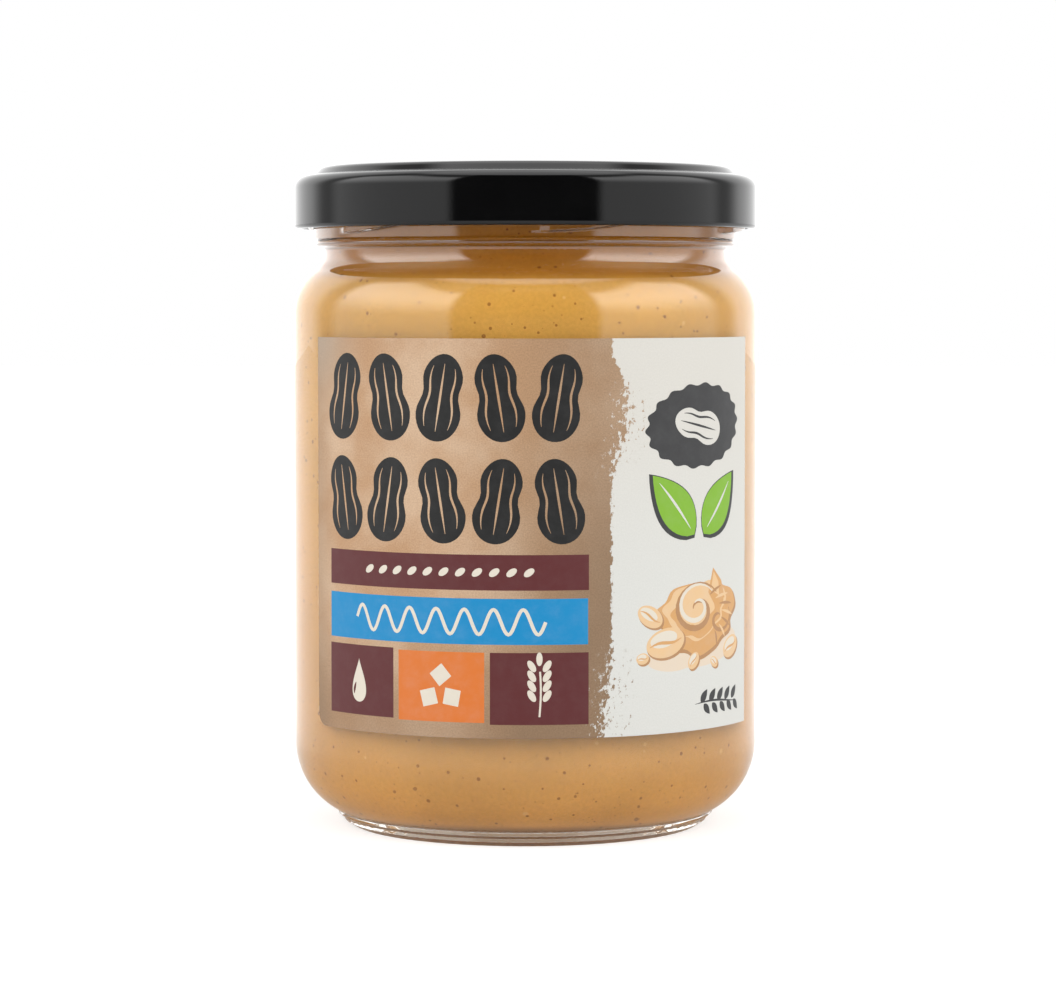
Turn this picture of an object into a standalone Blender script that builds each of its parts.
"""A shut glass jar of peanut butter, with a twist-off metal lid and a paper label on its front.

The jar stands on Z = 0 with its axis on +Z, and the middle of its front faces -Y. Sizes below are in
millimetres, and radii are from the jar's axis.
"""

import math

import bmesh
import bpy
from mathutils import Vector

MM = 0.001

# How finely round things are cut.
SEGMENTS = 60
ARC_SAG = 0.08
WELD = 1e-7

# Gap between pieces that touch, and between the paper and the glass.
GAP = 0.3
LABEL_GAP = 0.1

# Glass: outside.
BODY_R = 43.0
HEEL_CORNER_Z = 6.5
HEEL_ROUND = 14.0
NOTCH_R = 35.0
NOTCH_Z = 2.6
NOTCH_ROUND = 1.2
BASE_RING_R = 32.7
BASE_RING_ROUND = 3.5
FOOT_INNER_R = 28.2
PUSH_UP_R = 26.6
PUSH_UP_Z = 1.5
PUSH_UP_TOP = 3.0
SHOULDER_CORNER_Z = 99.8
SHOULDER_ROUND = 10.2
NECK_R = 37.46
NECK_CORNER_Z = 104.2
NECK_ROUND = 4.4

# Glass: the finish, which the lid grips.
BEAD_Z = 107.2
BEAD_R = 39.1
BEAD_ROUND = 0.8
BEAD_TOP_Z = 110.2
FINISH_R = 39.4
RIM_Z = 119.6
RIM_OUTER_ROUND = 0.9
RIM_INNER_ROUND = 1.6

# Glass: inside.
WALL = 2.6
BORE_R = 35.0
FLOOR_EDGE_Z = 5.0
FLOOR_TOP_Z = 6.2
INNER_HEEL_ROUND = 11.4
INNER_SHOULDER_Z = 98.3
INNER_SHOULDER_ROUND = 8.0
INNER_NECK_Z = 102.7
INNER_NECK_ROUND = 7.0

# Thread ridges on the finish, which rise to the right from a low end that shows just under the lid.
RIDGES = 6
RIDGE_FIRST_END = -57.0
RIDGE_SWEEP = 40.0
RIDGE_CREST_R = 41.0
RIDGE_ROOT_R = 38.8
RIDGE_LOW_Z = 110.0
RIDGE_HEIGHT = 2.2
RIDGE_CREST_HEIGHT = 0.8
RIDGE_RISE = 2.0
RIDGE_STATIONS = 9

# Lid.
LID_R = 42.9
LID_LOW_Z = 110.6
LID_TOP_Z = 122.0
LID_PLATE = 0.5
PANEL_R = 38.0
PANEL_ROUND = 1.8
RING_INNER_R = 39.3
RING_INNER_Z = 120.5
RING_OUTER_Z = 120.2
CORNER_ROUND = 2.3
CURL_INNER_R = 41.4
CURL_TOP_Z = 112.3
CURL_ROUND = 0.7

# Lugs of the lid, each turned in under the high end of a thread ridge.
LUG_SWEEP = 9.0
LUG_INNER_R = 40.2
LUG_OUTER_R = 41.9
LUG_LOW_Z = 110.75
LUG_HEIGHT = 0.9
LUG_STATIONS = 4

# Peanut butter.
FILL_LEVEL_Z = 113.0

# Label, by angles from the front towards +X.
LABEL_START = -60.0
LABEL_END = 68.0
LABEL_LOW_Z = 20.65
LABEL_HIGH_Z = 90.85
LABEL_PAPER = 0.1
LABEL_CORNER = 2.5
LABEL_CORNER_STEPS = 3


def filleted(corners):
    """Points of a profile whose corners (radius, height, rounding) are replaced by arcs."""
    points = []
    for index, (r, z, rounding) in enumerate(corners):
        corner = Vector((r, z))
        if rounding == 0:
            points.append(corner)
            continue
        before = (Vector(corners[index - 1][:2]) - corner).normalized()
        after = (Vector(corners[index + 1][:2]) - corner).normalized()
        turn = math.pi - before.angle(after)
        reach = rounding * math.tan(turn / 2)
        centre = corner + (before + after).normalized() * rounding / math.cos(turn / 2)
        first = corner + before * reach - centre
        side = math.copysign(1.0, before.x * after.y - before.y * after.x)
        steps = math.ceil(turn / (2 * math.acos(1 - ARC_SAG / rounding)))
        for step in range(steps + 1):
            angle = -side * turn * step / steps
            across = Vector((first.x * math.cos(angle) - first.y * math.sin(angle),
                             first.x * math.sin(angle) + first.y * math.cos(angle)))
            points.append(centre + across)
    return points


def jar_profile():
    """From the middle of the underside, up the outside, over the rim and down to the middle of the floor."""
    inner_r = BODY_R - WALL
    return filleted([
        (0, PUSH_UP_TOP, 0),
        (PUSH_UP_R, PUSH_UP_Z, 1.5),
        (FOOT_INNER_R, 0, 0),
        (BASE_RING_R, 0, BASE_RING_ROUND),
        (NOTCH_R, NOTCH_Z, NOTCH_ROUND),
        (BODY_R, HEEL_CORNER_Z, HEEL_ROUND),
        (BODY_R, SHOULDER_CORNER_Z, SHOULDER_ROUND),
        (NECK_R, NECK_CORNER_Z, NECK_ROUND),
        (NECK_R, BEAD_Z, 0.4),
        (BEAD_R, BEAD_Z, BEAD_ROUND),
        (BEAD_R, BEAD_TOP_Z, 0),
        (FINISH_R, BEAD_TOP_Z + 0.6, 0),
        (FINISH_R, RIM_Z, RIM_OUTER_ROUND),
        (BORE_R, RIM_Z, RIM_INNER_ROUND),
        (BORE_R, INNER_NECK_Z, INNER_NECK_ROUND),
        (inner_r, INNER_SHOULDER_Z, INNER_SHOULDER_ROUND),
        (inner_r, FLOOR_EDGE_Z, INNER_HEEL_ROUND),
        (0, FLOOR_TOP_Z, 0),
    ])


def filling_profile():
    """The inside of the jar less the gap, from the middle of its floor up to the level of the filling."""
    inner_r = BODY_R - WALL - GAP
    return filleted([
        (0, FLOOR_TOP_Z + GAP, 0),
        (inner_r, FLOOR_EDGE_Z + GAP, INNER_HEEL_ROUND - GAP),
        (inner_r, INNER_SHOULDER_Z, INNER_SHOULDER_ROUND),
        (BORE_R - GAP, INNER_NECK_Z, INNER_NECK_ROUND),
        (BORE_R - GAP, FILL_LEVEL_Z, 0),
        (0, FILL_LEVEL_Z, 0),
    ])


def lid_profile():
    """From the middle of the top, down the outside, round the rolled edge and back under the plate."""
    inside = LID_R - LID_PLATE
    return filleted([
        (0, LID_TOP_Z, 0),
        (PANEL_R, LID_TOP_Z, PANEL_ROUND),
        (RING_INNER_R, RING_INNER_Z, 0.4),
        (LID_R, RING_OUTER_Z, CORNER_ROUND),
        (LID_R, LID_LOW_Z, CURL_ROUND),
        (CURL_INNER_R, LID_LOW_Z, CURL_ROUND),
        (CURL_INNER_R, CURL_TOP_Z, 0.3),
        (inside, CURL_TOP_Z, 0),
        (inside, RING_OUTER_Z - LID_PLATE, CORNER_ROUND - LID_PLATE),
        (RING_INNER_R - LID_PLATE, RING_INNER_Z - LID_PLATE, 0.4),
        (PANEL_R - LID_PLATE, LID_TOP_Z - LID_PLATE, PANEL_ROUND - LID_PLATE),
        (0, LID_TOP_Z - LID_PLATE, 0),
    ])


def place(angle, r, z):
    """A point in metres, by its angle in degrees from the front towards +X."""
    turn = math.radians(angle)
    return Vector((r * math.sin(turn), -r * math.cos(turn), z)) * MM


def add_object(name, mesh, material):
    mesh.materials.append(material)
    mesh.shade_smooth()
    mesh.set_sharp_from_angle(angle=math.radians(30))
    piece = bpy.data.objects.new(name, mesh)
    bpy.context.scene.collection.objects.link(piece)
    return piece


def finished_mesh(name, shape):
    """A mesh from the bmesh, with its faces pointing out."""
    bmesh.ops.recalc_face_normals(shape, faces=shape.faces)
    mesh = bpy.data.meshes.new(name)
    shape.to_mesh(mesh)
    shape.free()
    return mesh


def turned(name, profile, material):
    """A solid of revolution about Z, from a profile that starts and ends on the axis."""
    shape = bmesh.new()
    verts = [shape.verts.new(place(0, r, z)) for r, z in profile]
    edges = [shape.edges.new(pair) for pair in zip(verts, verts[1:])]
    bmesh.ops.spin(shape, geom=verts + edges, cent=(0, 0, 0), axis=(0, 0, 1),
                   angle=2 * math.pi, steps=SEGMENTS, use_merge=True)
    bmesh.ops.remove_doubles(shape, verts=shape.verts, dist=WELD)
    return add_object(name, finished_mesh(name, shape), material)


def swept(name, sections, material):
    """A solid through a row of sections, each a list of as many corners."""
    shape = bmesh.new()
    rings = [[shape.verts.new(corner) for corner in section] for section in sections]
    for ring, following in zip(rings, rings[1:]):
        for index, corner in enumerate(ring):
            neighbour = (index + 1) % len(ring)
            shape.faces.new((corner, ring[neighbour], following[neighbour], following[index]))
    shape.faces.new(rings[0])
    shape.faces.new(rings[-1])
    return add_object(name, finished_mesh(name, shape), material)


def fused(target, pieces):
    """Joins the pieces to the target by one Boolean union, applies it and removes the pieces."""
    group = bpy.data.collections.new(target.name + "_pieces")
    bpy.context.scene.collection.children.link(group)
    for piece in pieces:
        bpy.context.scene.collection.objects.unlink(piece)
        group.objects.link(piece)
    union = target.modifiers.new("join", "BOOLEAN")
    union.operation = "UNION"
    union.operand_type = "COLLECTION"
    union.collection = group
    union.solver = "EXACT"
    graph = bpy.context.evaluated_depsgraph_get()
    joined = bpy.data.meshes.new_from_object(target.evaluated_get(graph))
    target.modifiers.remove(union)
    target.data = joined
    for piece in pieces:
        bpy.data.objects.remove(piece)
    bpy.data.collections.remove(group)
    joined.name = target.name


def thread_ridge(index, material):
    """One ridge of the thread, flat-topped, that fades out at both ends and rises to the right."""
    start = RIDGE_FIRST_END + index * 360 / RIDGES
    slope = (RIDGE_HEIGHT - RIDGE_CREST_HEIGHT) / 2
    sections = []
    for station in range(RIDGE_STATIONS):
        along = station / (RIDGE_STATIONS - 1)
        angle = start + RIDGE_SWEEP * along
        low = RIDGE_LOW_Z + RIDGE_RISE * along
        fade = min(1.0, 5 * along + 0.25, 5 * (1 - along) + 0.25)
        crest = FINISH_R + (RIDGE_CREST_R - FINISH_R) * fade
        sections.append([
            place(angle, RIDGE_ROOT_R, low),
            place(angle, crest, low + slope),
            place(angle, crest, low + slope + RIDGE_CREST_HEIGHT),
            place(angle, RIDGE_ROOT_R, low + RIDGE_HEIGHT),
        ])
    return swept("ridge_%d" % index, sections, material)


def lid_lug(index, material):
    """One lug of the lid, a short tab that reaches in from the rolled edge."""
    end = RIDGE_FIRST_END + index * 360 / RIDGES + RIDGE_SWEEP
    sections = []
    for station in range(LUG_STATIONS):
        angle = end - LUG_SWEEP * station / (LUG_STATIONS - 1)
        sections.append([
            place(angle, LUG_OUTER_R, LUG_LOW_Z),
            place(angle, LUG_INNER_R, LUG_LOW_Z),
            place(angle, LUG_INNER_R, LUG_LOW_Z + LUG_HEIGHT),
            place(angle, LUG_OUTER_R, LUG_LOW_Z + LUG_HEIGHT),
        ])
    return swept("lug_%d" % index, sections, material)


def label_columns():
    """(angle, lower edge) of each column of the label, whose lower left corner is cut round."""
    turn_per_mm = 180 / (math.pi * BODY_R)
    columns = []
    for step in range(LABEL_CORNER_STEPS + 1):
        swing = math.pi / 2 * step / LABEL_CORNER_STEPS
        angle = LABEL_START + LABEL_CORNER * (1 - math.cos(swing)) * turn_per_mm
        columns.append((angle, LABEL_LOW_Z + LABEL_CORNER * (1 - math.sin(swing))))
    facet = 360 / SEGMENTS
    angle = math.ceil(columns[-1][0] / facet) * facet
    while angle < LABEL_END:
        columns.append((angle, LABEL_LOW_Z))
        angle += facet
    columns.append((LABEL_END, LABEL_LOW_Z))
    return columns


def label(material):
    """The paper label, a thin shell that follows the facets of the glass."""
    inner = BODY_R + LABEL_GAP
    outer = inner + LABEL_PAPER
    sections = []
    for angle, low in label_columns():
        sections.append([
            place(angle, inner, low),
            place(angle, outer, low),
            place(angle, outer, LABEL_HIGH_Z),
            place(angle, inner, LABEL_HIGH_Z),
        ])
    return swept("label", sections, material)


def finish_material(name, colour, roughness, metallic=0.0, transmission=0.0):
    material = bpy.data.materials.new(name)
    material.use_nodes = True
    shader = material.node_tree.nodes["Principled BSDF"]
    shader.inputs["Base Color"].default_value = (*colour, 1.0)
    shader.inputs["Roughness"].default_value = roughness
    shader.inputs["Metallic"].default_value = metallic
    shader.inputs["Transmission Weight"].default_value = transmission
    return material


def build():
    for old in list(bpy.data.objects):
        bpy.data.objects.remove(old)
    glass = finish_material("clear_glass", (0.95, 0.97, 0.95), 0.02, transmission=1.0)
    black = finish_material("black_painted_metal", (0.012, 0.012, 0.013), 0.3)
    butter = finish_material("peanut_butter", (0.56, 0.32, 0.12), 0.45)
    paper = finish_material("label_paper", (0.52, 0.37, 0.25), 0.6)

    jar = turned("glass_jar", jar_profile(), glass)
    fused(jar, [thread_ridge(index, glass) for index in range(RIDGES)])
    lid = turned("lid", lid_profile(), black)
    fused(lid, [lid_lug(index, black) for index in range(RIDGES)])
    turned("peanut_butter", filling_profile(), butter)
    label(paper)


build()
